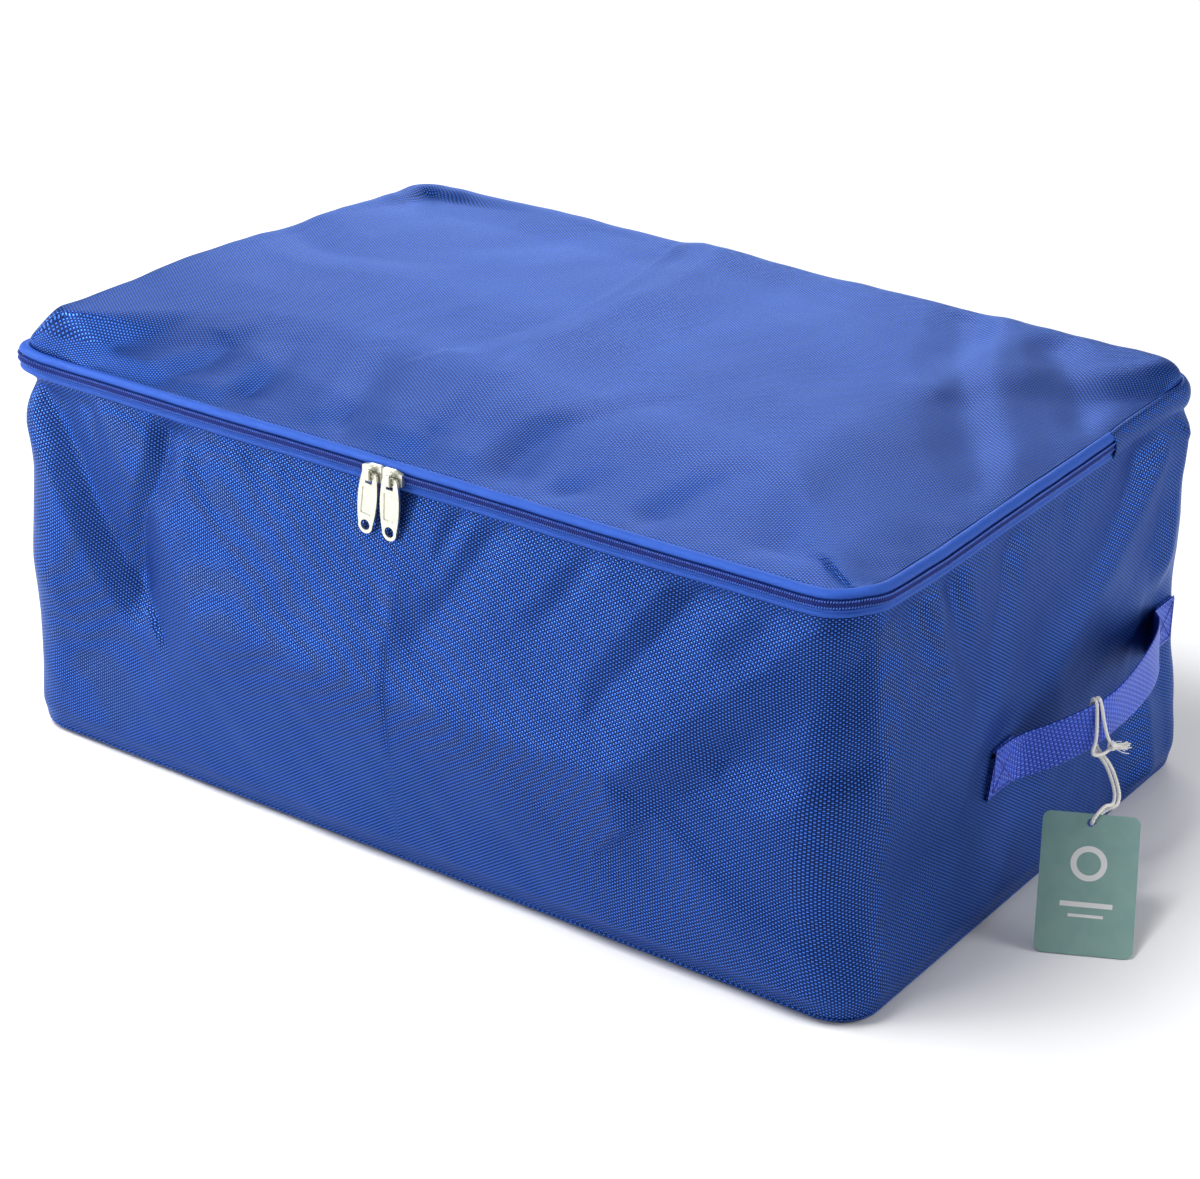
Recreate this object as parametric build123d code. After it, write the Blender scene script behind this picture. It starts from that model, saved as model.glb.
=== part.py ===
from build123d import *
import math
import os

# Soft zipped under-bed storage box: a woven fabric tub, a lid flap closed by a two-slider coil zip,
# a webbing handle on each end wall and a hang tag on a string.
# Frame: origin on the floor at the centre of the base, +X to the right along the front,
# front wall at -Y, +Z up. All lengths are millimetres.

# ---- overall size
WIDTH = 600.0
DEPTH = 400.0
LID_TOP_Z = 268.0
CLOTH = 2.0
CORNER_R = 28.0
BASE_EDGE_R = 18.0
LID_EDGE_R = 10.0
HALF_W = WIDTH / 2
HALF_D = DEPTH / 2

# ---- levels of the zip band and of the seams
ZIP_Z = 249.5
BASE_SEAM_Z = 5.0
WALL_TOP_Z = 243.0
BAND_LOW_Z = 239.0
BAND_HIGH_Z = 261.0
LID_RIM_Z = 257.0
FOLD_Y = 81.0
FOLD_GAP = 0.3

# ---- zip chain
TAPE = 0.9
CHAIN_GAP = 1.8
COIL_HEIGHT = 2.3
COIL_DEPTH = 2.3
GUSSET = 1.3

# ---- sliders and pulls
SLIDER_X = {"left": -17.3, "right": -2.7}
SLIDER_LENGTH = 14.0
SLIDER_HEIGHT = 10.4
SLIDER_NOSE_HEIGHT = 7.4
PLATE_FRONT_Y = -HALF_D - 6.0
PLATE_BACK_Y = -HALF_D - 3.7
INNER_PLATE_Y = (-HALF_D + 0.4, -HALF_D + 2.0)
LIP_HEIGHT = 1.1
LIP_REACH = 2.4
POST_HEIGHT = 1.1
POST_LENGTH = 3.0
POST_INSET = 0.6
SLIDER_TAPER_START = 0.2
SLIDER_CORNER_R = 1.2
LIP_SHARE = 0.6
ARCH_WIDTH = 2.6
ARCH_OPENING = 4.6
ARCH_BAR = 1.6
ARCH_CLEAR = 3.2
ARCH_EDGE_R = 1.28
PULL_THICK = 1.6
PULL_LENGTH = 38.5
PULL_TOP_HALF = 4.9
PULL_WIDE_HALF = 6.8
PULL_WIDE_DOWN = 17.0
PULL_TOE_HALF = 5.0
PULL_TOE_DOWN = 33.0
PULL_BAR = 1.8
PULL_TOP_R = 1.6
SLOT_SIZE = (5.0, 5.4)
PULL_HOLE_R = 3.2
PULL_HOLE_DOWN = 33.2
RECESS_SIZE = (8.2, 17.0)
RECESS_DEPTH = 0.5
RECESS_CORNER_R = 1.0
RECESS_DOWN = 18.0
PULL_LEAN = {"left": 6.4, "right": 1.4}

# ---- seam allowance inside, round the bottom panel
BINDING_INSET = BASE_EDGE_R + 2
BINDING_THICK = 1.5
BINDING_HEIGHT = 9.0

# ---- webbing handles, one on each end wall
STRAP_WIDTH = 30.0
STRAP = 1.5
PATCH_LENGTH = 28.0
PATCH_THICK = 3.0
FRONT_PATCH = (-29.5, 90.0)
BACK_PATCH = (175.5, 102.5)
STRAP_ROUTE = [
    (304.6, -12.6, 90.4),
    (316.0, 2.0, 95.0),
    (332.0, 24.0, 104.5),
    (336.0, 55.0, 109.5),
    (330.5, 100.0, 111.5),
    (316.0, 140.0, 108.5),
    (305.4, 156.5, 104.2),
]
STRAP_SECTIONS = 15

# ---- hang tag, leaning with its bottom edge on the floor
TAG_WIDTH = 56.0
TAG_HEIGHT = 84.0
TAG_THICK = 0.6
TAG_CORNER_R = 5.0
TAG_FOOT = Vector(372.6, -51.2, 0.5)
TAG_YAW = 26.5
TAG_TILT = 45.2
TAG_HOLE_R = 2.6
TAG_HOLE_INSET = 5.5

# ---- tag string: one cord, knotted into a loop that is hitched round the right handle
STRING_D = 2.3
STRING_R = STRING_D / 2
HITCH_FROM_KNOT = [
    (339.4, 33.0, 87.2),
    (338.4, 30.1, 86.0),
    (337.0, 25.3, 85.4),
    (334.6, 20.2, 86.8),
    (334.0, 20.2, 89.8),
    (334.4, 23.5, 94.5),
    (334.0, 22.8, 107.0),
    (333.4, 21.3, 121.8),
    (329.1, 22.9, 121.8),
    (329.5, 23.9, 107.0),
    (330.4, 26.2, 91.8),
]
TAILS = [
    (330.5, 26.4, 91.0),
    (331.9, 27.2, 86.6),
    (339.8, 27.9, 79.5),
    (345.5, 26.0, 71.6),
    (350.0, 22.8, 64.6),
    (352.1, 16.3, 61.0),
    (351.2, 7.3, 65.0),
    (349.6, -0.8, 61.0),
    (348.9, -3.5, 57.9),
    (347.2, -0.1, 54.1),
    (347.2, 3.8, 56.3),
    (350.6, 11.2, 60.4),
    (354.2, 17.8, 60.6),
    (352.2, 24.3, 64.6),
    (347.6, 27.5, 71.7),
    (342.0, 29.4, 79.5),
    (333.0, 29.6, 86.6),
    (331.4, 28.8, 91.0),
]
HITCH_TO_KNOT = [
    (331.3, 28.7, 91.8),
    (330.6, 26.9, 107.0),
    (330.2, 25.7, 121.8),
    (334.5, 24.1, 121.8),
    (336.0, 28.1, 105.7),
    (337.6, 31.8, 94.0),
    (339.2, 33.4, 90.6),
]
KNOT_CENTRE = Vector(339.8, 34.2, 88.8)
KNOT_R = 3.1
FRAY_LENGTH = 13.0
FRAY_END_R = 3.4
FRAY_START_R = 1.8
FRAY_DIRECTION = Vector(0.33, 0.9, -0.28).normalized()


def rounded_block(width, depth, corner_radius, low_z, high_z):
    """A block with rounded upright corners, centred on the frame's Z axis."""
    outline = RectangleRounded(width, depth, corner_radius)
    return Pos(0, 0, low_z) * extrude(outline, high_z - low_z)


def ring(outward, thickness, low_z, high_z):
    """A closed band that follows the walls: its inner face stands `outward` of the wall's outer face."""
    grow = outward + thickness
    outer = rounded_block(WIDTH + 2 * grow, DEPTH + 2 * grow, CORNER_R + grow, low_z, high_z)
    inner = rounded_block(
        WIDTH + 2 * outward, DEPTH + 2 * outward, CORNER_R + outward, low_z - 1, high_z + 1
    )
    return outer - inner


def in_front_of(shape, y):
    """The part of a shape on the front side of the plane at y."""
    reach = 2 * WIDTH
    return shape & Pos(0, y - reach / 2, 0) * Box(reach, reach, reach)


def behind(shape, y):
    """The part of a shape on the back side of the plane at y."""
    reach = 2 * WIDTH
    return shape & Pos(0, y + reach / 2, 0) * Box(reach, reach, reach)


def rolled_shell(low_z, high_z, edge_radius, edge_at_top):
    """An open shell of cloth whose closed end has a rolled edge."""
    outer = rounded_block(WIDTH, DEPTH, CORNER_R, low_z, high_z)
    inner_low = low_z if edge_at_top else low_z + CLOTH
    inner_high = high_z - CLOTH if edge_at_top else high_z
    inner = rounded_block(
        WIDTH - 2 * CLOTH, DEPTH - 2 * CLOTH, CORNER_R - CLOTH, inner_low, inner_high
    )
    end = -1 if edge_at_top else 0
    outer = fillet(outer.faces().sort_by(Axis.Z)[end].edges(), edge_radius)
    inner = fillet(inner.faces().sort_by(Axis.Z)[end].edges(), edge_radius - CLOTH)
    return outer - inner


def tub():
    """The wall band and the bottom panel, which meet at the seam just above the floor."""
    shell = rolled_shell(0, WALL_TOP_Z, BASE_EDGE_R, edge_at_top=False)
    reach = 2 * WIDTH
    below_seam = Pos(0, 0, BASE_SEAM_Z - reach / 2) * Box(reach, reach, reach)
    return {"wall_band": shell - below_seam, "bottom_panel": shell & below_seam}


def bottom_binding():
    """The taped seam allowance that stands up inside, round the bottom panel."""
    radius = CORNER_R - BINDING_INSET / 2
    hollow_inset = BINDING_INSET + BINDING_THICK
    top_z = CLOTH + BINDING_HEIGHT
    outer = rounded_block(
        WIDTH - 2 * BINDING_INSET, DEPTH - 2 * BINDING_INSET, radius, CLOTH, top_z
    )
    inner = rounded_block(
        WIDTH - 2 * hollow_inset,
        DEPTH - 2 * hollow_inset,
        radius - BINDING_THICK,
        CLOTH - 1,
        top_z + 1,
    )
    return outer - inner


def lid():
    """The opening flap and the strip of lid behind the fold line."""
    shell = rolled_shell(LID_RIM_Z, LID_TOP_Z, LID_EDGE_R, edge_at_top=True)
    return {
        "lid_flap": in_front_of(shell, FOLD_Y - FOLD_GAP / 2),
        "lid_back": behind(shell, FOLD_Y + FOLD_GAP / 2),
    }


def zip_band():
    """The two tapes and the two coils round the front and the sides, and the gusset round the back."""
    half_gap = CHAIN_GAP / 2
    low, high = ZIP_Z - half_gap, ZIP_Z + half_gap
    bands = {
        "zip_tape_lower": ring(0, TAPE, BAND_LOW_Z, low),
        "zip_tape_upper": ring(0, TAPE, high, BAND_HIGH_Z),
        "zip_coil_lower": ring(TAPE, COIL_DEPTH, low - COIL_HEIGHT, low),
        "zip_coil_upper": ring(TAPE, COIL_DEPTH, high, high + COIL_HEIGHT),
    }
    pieces = {name: in_front_of(band, FOLD_Y - FOLD_GAP) for name, band in bands.items()}
    pieces["back_gusset"] = behind(ring(0, GUSSET, BAND_LOW_Z, BAND_HIGH_Z), FOLD_Y)
    return pieces


def slider(side):
    """A slider: outer and inner plates joined by a post between the coils, a lip under the lower coil."""
    toward_nose = -1 if side == "left" else 1
    half_l, half_h, nose_h = SLIDER_LENGTH / 2, SLIDER_HEIGHT / 2, SLIDER_NOSE_HEIGHT / 2
    outline = Polyline(
        (-half_l * toward_nose, -half_h),
        (half_l * SLIDER_TAPER_START * toward_nose, -half_h),
        (half_l * toward_nose, -nose_h),
        (half_l * toward_nose, nose_h),
        (half_l * SLIDER_TAPER_START * toward_nose, half_h),
        (-half_l * toward_nose, half_h),
        close=True,
    )
    face = fillet(make_face(outline).vertices(), SLIDER_CORNER_R)
    at_zip = Plane(origin=(SLIDER_X[side], 0, ZIP_Z), x_dir=(1, 0, 0), z_dir=(0, -1, 0))
    plates = []
    for front_y, back_y in ((PLATE_FRONT_Y, PLATE_BACK_Y), INNER_PLATE_Y):
        plane = at_zip.offset(-back_y)
        plates.append(extrude(plane * face, back_y - front_y))
    post_x = SLIDER_X[side] - toward_nose * (half_l - POST_LENGTH / 2 - POST_INSET)
    post = Pos(post_x, (PLATE_BACK_Y + INNER_PLATE_Y[0]) / 2, ZIP_Z) * Box(
        POST_LENGTH, INNER_PLATE_Y[0] - PLATE_BACK_Y, POST_HEIGHT
    )
    lip_low = ZIP_Z - half_h
    lip = Pos(SLIDER_X[side], PLATE_BACK_Y + LIP_REACH / 2, lip_low + LIP_HEIGHT / 2) * Box(
        SLIDER_LENGTH * LIP_SHARE, LIP_REACH, LIP_HEIGHT
    )
    return plates[0] + plates[1] + post + lip


def slider_arch(side):
    """The upright arch on the slider's face, whose opening holds the pull's cross bar."""
    height = ARCH_OPENING + 2 * ARCH_BAR
    depth = ARCH_CLEAR + ARCH_BAR
    arch = Box(ARCH_WIDTH, depth, height) - Pos(0, ARCH_BAR / 2, 0) * Box(
        ARCH_WIDTH + 1, ARCH_CLEAR, ARCH_OPENING
    )
    front_edges = arch.edges().filter_by(Axis.X).group_by(Axis.Y)[0]
    arch = fillet(front_edges, ARCH_EDGE_R)
    return Pos(SLIDER_X[side], PLATE_FRONT_Y - depth / 2, ZIP_Z) * arch


def pull(side):
    """A long oval pull hanging from its cross bar, with a slot, a sunk panel and a hole at its toe."""
    left_side = ThreePointArc(
        (-PULL_TOP_HALF, 0), (-PULL_WIDE_HALF, -PULL_WIDE_DOWN), (-PULL_TOE_HALF, -PULL_TOE_DOWN)
    )
    toe = ThreePointArc(
        (-PULL_TOE_HALF, -PULL_TOE_DOWN), (0, -PULL_LENGTH), (PULL_TOE_HALF, -PULL_TOE_DOWN)
    )
    right_side = ThreePointArc(
        (PULL_TOE_HALF, -PULL_TOE_DOWN), (PULL_WIDE_HALF, -PULL_WIDE_DOWN), (PULL_TOP_HALF, 0)
    )
    top = Line((PULL_TOP_HALF, 0), (-PULL_TOP_HALF, 0))
    outline = make_face(Curve() + [left_side, toe, right_side, top])
    outline = fillet(outline.vertices().group_by(Axis.Y)[-1], PULL_TOP_R)
    outline -= Pos(0, -PULL_BAR - SLOT_SIZE[1] / 2) * Rectangle(*SLOT_SIZE)
    outline -= Pos(0, -PULL_HOLE_DOWN) * Circle(PULL_HOLE_R)
    plate = extrude(outline, PULL_THICK / 2, both=True)
    recess = Pos(0, -RECESS_DOWN, PULL_THICK / 2 - RECESS_DEPTH) * extrude(
        RectangleRounded(*RECESS_SIZE, RECESS_CORNER_R), PULL_THICK
    )
    upright = Rot(90, 0, 0) * Pos(0, PULL_BAR / 2, 0) * (plate - recess)
    bar_y = PLATE_FRONT_Y - ARCH_CLEAR / 2
    return Pos(SLIDER_X[side], bar_y, ZIP_Z) * Rot(0, PULL_LEAN[side], 0) * upright


def strap_arch():
    """The free arch of the right handle: a flat webbing section carried along its route."""
    route = Spline(*STRAP_ROUTE)
    sections = []
    for i in range(STRAP_SECTIONS):
        u = i / (STRAP_SECTIONS - 1)
        along = route % u
        across = Vector(along.Y, -along.X, 0).normalized()
        plane = Plane(origin=route @ u, x_dir=across, z_dir=along)
        sections.append(plane * Rectangle(STRAP, STRAP_WIDTH))
    return loft(sections)


def strap_patch(place):
    """A folded strap end sewn flat on the right wall."""
    y, z = place
    return Pos(HALF_W + PATCH_THICK / 2, y, z) * Box(PATCH_THICK, PATCH_LENGTH, STRAP_WIDTH)


def handles():
    """The right handle's pieces, and the same pieces mirrored onto the left wall."""
    right = {
        "handle_right": strap_arch(),
        "handle_right_end_front": strap_patch(FRONT_PATCH),
        "handle_right_end_back": strap_patch(BACK_PATCH),
    }
    left = {
        name.replace("right", "left"): mirror(shape, about=Plane.YZ)
        for name, shape in right.items()
    }
    return {**right, **left}


def hang_tag():
    """The card, with rounded corners and a string hole, leaning back from its foot on the floor."""
    card = Pos(0, TAG_HEIGHT / 2) * RectangleRounded(TAG_WIDTH, TAG_HEIGHT, TAG_CORNER_R)
    card -= Pos(0, TAG_HEIGHT - TAG_HOLE_INSET) * Circle(TAG_HOLE_R)
    solid = extrude(card, TAG_THICK / 2, both=True)
    return Pos(*TAG_FOOT) * Rot(0, 0, TAG_YAW) * Rot(TAG_TILT, 0, 0) * solid


def corner_radii(points):
    """For each corner of a cord's route, 0.45 of the shorter run over the tangent of half the turn."""
    radii = []
    for before, corner, after in zip(points, points[1:], points[2:]):
        run_in = Vector(*corner) - Vector(*before)
        run_out = Vector(*after) - Vector(*corner)
        half_turn = math.radians(run_in.get_angle(run_out) / 2)
        radii.append(0.45 * min(run_in.length, run_out.length) / math.tan(half_turn))
    return radii


def cord_tube(name, points):
    """A round tube along straight runs joined by tangent arcs."""
    radii = corner_radii(points)
    path = FilletPolyline(*points, radius=radii)
    section = Plane(origin=path @ 0, z_dir=path % 0) * Circle(STRING_R)
    tube = sweep(section, path=path)
    expected = math.pi * STRING_R**2 * path.length
    print(
        f"{name}: length {path.length:.1f} mm, radii {min(radii):.1f} to {max(radii):.1f} mm, "
        f"volume {tube.volume:.0f} of {expected:.0f} mm3"
    )
    return tube


def string_knot():
    """The overhand knot that closes the loop, with the frayed ends beyond it."""
    start = KNOT_CENTRE + FRAY_DIRECTION * FRAY_START_R
    end = KNOT_CENTRE + FRAY_DIRECTION * FRAY_LENGTH
    fray = loft(
        [
            Plane(origin=start, z_dir=FRAY_DIRECTION) * Circle(FRAY_START_R),
            Plane(origin=end, z_dir=FRAY_DIRECTION) * Circle(FRAY_END_R),
        ]
    )
    return Pos(*KNOT_CENTRE) * Sphere(KNOT_R) + fray


def tag_string():
    """The string: the hitch round the strap, the free tails through the tag, and the knot."""
    hitch = cord_tube("hitch from knot", HITCH_FROM_KNOT) + cord_tube("hitch to knot", HITCH_TO_KNOT)
    return {
        "string_hitch": hitch,
        "string_tails": cord_tube("tails", TAILS),
        "string_knot": string_knot(),
    }


def all_nodes():
    nodes = {**tub(), "bottom_binding": bottom_binding(), **lid(), **zip_band()}
    for side in ("left", "right"):
        nodes[f"slider_{side}"] = slider(side)
        nodes[f"slider_{side}_arch"] = slider_arch(side)
        nodes[f"pull_{side}"] = pull(side)
    nodes.update(handles())
    nodes["hang_tag"] = hang_tag()
    nodes.update(tag_string())
    return nodes


os.makedirs("parts", exist_ok=True)
for node_name, node_shape in all_nodes().items():
    export_step(node_shape, f"parts/{node_name}.step")
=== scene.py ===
import math
import random
from collections import namedtuple

import bpy
import numpy as np
from mathutils import Matrix, Vector


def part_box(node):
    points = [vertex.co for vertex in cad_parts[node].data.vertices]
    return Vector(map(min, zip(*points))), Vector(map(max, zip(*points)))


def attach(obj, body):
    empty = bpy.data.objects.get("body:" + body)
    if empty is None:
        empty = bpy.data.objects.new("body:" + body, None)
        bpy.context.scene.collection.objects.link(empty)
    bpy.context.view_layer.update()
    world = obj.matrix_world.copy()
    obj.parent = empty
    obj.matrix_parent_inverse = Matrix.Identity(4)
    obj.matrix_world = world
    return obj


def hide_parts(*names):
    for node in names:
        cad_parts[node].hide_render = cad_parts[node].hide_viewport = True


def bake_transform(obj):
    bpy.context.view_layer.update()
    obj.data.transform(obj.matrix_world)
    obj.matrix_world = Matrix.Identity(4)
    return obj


# Looks of a soft zipped storage box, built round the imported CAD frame. Lengths are metres, apart from
# folds, facets, ripples, walls, profiles and routes, which are in millimetres.
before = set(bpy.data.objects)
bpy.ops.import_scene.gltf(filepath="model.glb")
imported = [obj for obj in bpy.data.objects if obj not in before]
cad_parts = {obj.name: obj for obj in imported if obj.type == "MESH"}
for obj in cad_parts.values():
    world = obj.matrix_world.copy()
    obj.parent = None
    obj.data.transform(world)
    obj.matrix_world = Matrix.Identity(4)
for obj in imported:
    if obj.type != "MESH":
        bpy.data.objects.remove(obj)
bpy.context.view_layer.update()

MM = 0.001
UP = np.array((0.0, 0.0, 1.0))

# ---- sizes read from the frame
wall_low, wall_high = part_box("wall_band")
flap_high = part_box("lid_flap")[1]
HALF_W, HALF_D = wall_high.x, wall_high.y
SEAM_Z = wall_low.z
LID_Z = flap_high.z
FOLD_Y = flap_high.y
ZIP_Z = (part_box("zip_tape_lower")[1].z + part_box("zip_tape_upper")[0].z) / 2
CORNER_R = 28 * MM
BASE_R = 7 * MM

# ---- the outline that every band follows, by arc length from the middle of the front
STRAIGHT_X = HALF_W - CORNER_R
STRAIGHT_Y = HALF_D - CORNER_R
ARC = math.pi / 2 * CORNER_R
PERIMETER = 4 * (STRAIGHT_X + STRAIGHT_Y + ARC)
RIGHT_WALL_S = STRAIGHT_X + ARC + STRAIGHT_Y
BACK_S = PERIMETER / 2
ZIP_END_S = RIGHT_WALL_S + FOLD_Y

# ---- cloth
CLOTH = 0.9 * MM
TAPE = 0.5 * MM
GRID = 3.2 * MM
FINE_GRID, COARSE_GRID = 1.6 * MM, 4 * MM
WARP_PITCH, WEFT_PITCH, WEAVE_RELIEF = 1.67 * MM, 1.14 * MM, 0.17 * MM

# ---- irregular waviness of the pieces, in millimetres
Ripple = namedtuple("Ripple", "height size seed")
PUCKERS = Ripple(0.7, 48, 11)
WALL_WAVE, WALL_FINE_WAVE = Ripple(0.55, 85, 12), Ripple(0.2, 30, 13)
LID_WAVE, LID_FINE_WAVE, LID_EDGE_WAVE = Ripple(0.7, 130, 21), Ripple(0.1, 42, 22), Ripple(0.25, 34, 23)
BOTTOM_WAVE = Ripple(0.35, 90, 31)
BAND_WAVE = Ripple(0.12, 26, 41)
BINDING_WAVE = Ripple(0.8, 40, 51)


# ======== Small helpers ========
def smoothstep(low, high, value):
    t = np.clip((value - low) / (high - low), 0, 1)
    return t * t * (3 - 2 * t)


def hump(distance, reach):
    """1 at no distance, almost nothing beyond twice the reach."""
    return np.exp(-((distance / reach) ** 2))


def unit(vector):
    return vector / np.linalg.norm(vector)


def around(turn, a, b):
    """The direction that lies `turn` radians round from a towards b."""
    return math.cos(turn) * a + math.sin(turn) * b


def lengths_along(points):
    """How far along a line each of its points lies."""
    return np.concatenate([[0], np.cumsum(np.linalg.norm(np.diff(points, axis=0), axis=1))])


def directions(points):
    """The direction of a line at each of its points."""
    along = np.gradient(points, axis=0)
    return along / np.linalg.norm(along, axis=1)[:, None]


def outline_point(s):
    """Point on the wall's outer line, and the outward direction there, at arc length s."""
    run = (s + STRAIGHT_X) % PERIMETER
    for side in range(4):
        length = 2 * (STRAIGHT_X if side % 2 == 0 else STRAIGHT_Y)
        if run <= length + ARC:
            break
        run -= length + ARC
    angle = math.radians(90 * side - 90)
    across = STRAIGHT_Y if side % 2 == 0 else STRAIGHT_X
    face = Vector((math.cos(angle), math.sin(angle), 0))
    ahead = Vector((-math.sin(angle), math.cos(angle), 0))
    turned = angle + max(0.0, run - length) / CORNER_R
    outward = Vector((math.cos(turned), math.sin(turned), 0))
    point = ahead * (min(run, length) - length / 2) + face * across + outward * CORNER_R
    return point, outward


def outline_arrays(stations):
    """The outline's points and outward directions at many arc lengths, as arrays."""
    pairs = [outline_point(s) for s in stations]
    return np.array([p for p, _ in pairs]), np.array([o for _, o in pairs])


def closed_loop(pitch, rows):
    """Arc lengths right round the outline, its points and outward directions there, and a grid of
    points to fill in with its UVs, which go along the loop already."""
    columns = round(PERIMETER / pitch)
    places = np.arange(columns + 1) * PERIMETER / columns
    uv = np.zeros((columns + 1, rows, 2))
    uv[:, :, 0] = places[:, None]
    return places[:-1], *outline_arrays(places[:-1]), np.zeros((columns, rows, 3)), uv


def ripples(u, v, kind, waves=7):
    """Smooth waviness with crests about the kind's size apart, mostly within the kind's height."""
    rng = random.Random(kind.seed)
    total = np.zeros_like(u)
    for _ in range(waves):
        angle = rng.uniform(0, math.tau)
        length = kind.size * rng.uniform(0.7, 1.7)
        phase = rng.uniform(0, math.tau)
        total += np.sin(math.tau * (u * math.cos(angle) + v * math.sin(angle)) / length + phase)
    return kind.height * total / math.sqrt(waves)


# Arc length from the middle of the front, and how far the zip's line is raised there (millimetres).
ZIP_RISE = [
    (0, 0), (262, 0.1), (276, 0.9), (298, 3.4), (330, 2.2), (372, 1.2), (489, 3), (569, 4.4), (700, 5),
    (976, 5),
]
ZIP_WAVE, ZIP_WAVE_LENGTH = 0.25 * MM, 31 * MM


def zip_rise(stations):
    """How far the zip's line stands above its middle height, the same on the left as on the right."""
    away = np.abs((np.asarray(stations) + BACK_S) % PERIMETER - BACK_S)
    known = np.array(ZIP_RISE) * MM
    return np.interp(away, known[:, 0], known[:, 1]) + ZIP_WAVE * np.sin(away / ZIP_WAVE_LENGTH)


# Where the full bag leaves the plain box: its foot spreads, the front left corner is drawn out at the
# zip, and the back right corner lower down. The way is the one from the middle to the front left.
SPREAD_HIGH, SPREAD_FROM = 85 * MM, 0.5
SPREAD_RIGHT, SPREAD_LEFT, SPREAD_FRONT, SPREAD_BACK = 12 * MM, 9 * MM, 2.5 * MM, 6 * MM
ZIP_CORNER, ZIP_CORNER_PUSH, ZIP_CORNER_Z = (-296 * MM, -195 * MM), 9.5 * MM, (175 * MM, 240 * MM)
BACK_CORNER, BACK_CORNER_PUSH = (297 * MM, 198 * MM), -11 * MM
BACK_CORNER_Z, BACK_CORNER_TALL = 88 * MM, 48 * MM
CORNER_REACH = 17 * MM
CORNER_WAY = (-0.82, -0.57)


def settle(points):
    """Moves points of the plain box to where the full bag has them."""
    points = np.array(points, float)
    x, y, z = (points[..., k].copy() for k in range(3))
    foot = 1 - smoothstep(0, SPREAD_HIGH, z)
    right, left = (smoothstep(SPREAD_FROM * HALF_W, HALF_W, a) for a in (x, -x))
    back, front = (smoothstep(SPREAD_FROM * HALF_D, HALF_D, a) for a in (y, -y))
    points[..., 0] += foot * (SPREAD_RIGHT * right - SPREAD_LEFT * left)
    points[..., 1] += foot * (SPREAD_BACK * back - SPREAD_FRONT * front)
    for corner, push in (
        (ZIP_CORNER, ZIP_CORNER_PUSH * smoothstep(*ZIP_CORNER_Z, z)),
        (BACK_CORNER, BACK_CORNER_PUSH * hump(z - BACK_CORNER_Z, BACK_CORNER_TALL)),
    ):
        near = push * hump(np.hypot(x - corner[0], y - corner[1]), CORNER_REACH)
        points[..., 0] += near * CORNER_WAY[0]
        points[..., 1] += near * CORNER_WAY[1]
    return points


def make_object(name, verts, faces, uvs=None, smooth=True):
    """A mesh object from vertices and faces, with one UV pair for each face corner if given."""
    mesh = bpy.data.meshes.new(name)
    mesh.from_pydata([tuple(v) for v in verts], [], [tuple(f) for f in faces])
    if uvs is not None:
        layer = mesh.uv_layers.new(name="UVMap")
        layer.data.foreach_set("uv", np.asarray(uvs, np.float32).ravel())
    mesh.polygons.foreach_set("use_smooth", [smooth] * len(mesh.polygons))
    mesh.update()
    piece = bpy.data.objects.new(name, mesh)
    bpy.context.scene.collection.objects.link(piece)
    return piece


def grid_object(name, points, uv, closed=False):
    """A sheet from a grid of points [column, row]. A closed sheet's UV grid has one column more."""
    columns, rows = points.shape[:2]
    faces, corners = [], []
    for i in range(columns if closed else columns - 1):
        nxt = (i + 1) % columns
        for j in range(rows - 1):
            faces.append((i * rows + j, nxt * rows + j, nxt * rows + j + 1, i * rows + j + 1))
            corners += [uv[i, j], uv[i + 1, j], uv[i + 1, j + 1], uv[i, j + 1]]
    return make_object(name, points.reshape(-1, 3), faces, corners)


def apply_modifiers(piece):
    """Makes the piece's modifiers part of its mesh."""
    graph = bpy.context.evaluated_depsgraph_get()
    made = bpy.data.meshes.new_from_object(piece.evaluated_get(graph))
    piece.modifiers.clear()
    piece.data = made


def paint(piece, material):
    piece.data.materials.clear()
    piece.data.materials.append(material)


def finish_piece(piece, material, body=None):
    paint(piece, material)
    if body:
        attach(piece, body)


def cloth_object(name, points, uv, material, body=None, thickness=CLOTH, levels=0, closed=False):
    """A finished piece of cloth, from a grid of points of its outer face on the plain box."""
    piece = grid_object(name, settle(points), uv, closed)
    solidify = piece.modifiers.new("thickness", "SOLIDIFY")
    solidify.thickness = thickness
    solidify.offset = -1.0
    solidify.use_even_offset = False
    if levels:
        subdivide = piece.modifiers.new("smooth", "SUBSURF")
        subdivide.levels = subdivide.render_levels = levels
    apply_modifiers(piece)
    finish_piece(piece, material, body)
    return piece


def path_frames(points):
    """For each point of a path: the point, and two directions across the path."""
    along = directions(points)
    side = np.cross(along[0], UP)
    if np.linalg.norm(side) < 0.1:
        side = np.cross(along[0], (1.0, 0.0, 0.0))
    frames = []
    for point, direction in zip(points, along):
        side = unit(side - direction * (side @ direction))
        frames.append((point, side, np.cross(direction, side)))
    return frames


def ring_faces(rings, sides, first=0):
    """Faces between rings of vertices that follow each other, from the vertex `first` on."""
    faces = []
    for low in range(first, first + (rings - 1) * sides, sides):
        for k in range(sides):
            nxt = (k + 1) % sides
            faces.append((low + k, low + nxt, low + sides + nxt, low + sides + k))
    return faces


def tube_arrays(points, radius, sides):
    """Vertices and faces of a tube with closed ends."""
    verts = []
    for point, a, b in path_frames(points):
        verts += [point + radius * around(math.tau * k / sides, a, b) for k in range(sides)]
    ends = [tuple(reversed(range(sides))), tuple(range(len(verts) - sides, len(verts)))]
    return verts, ring_faces(len(points), sides) + ends


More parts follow.
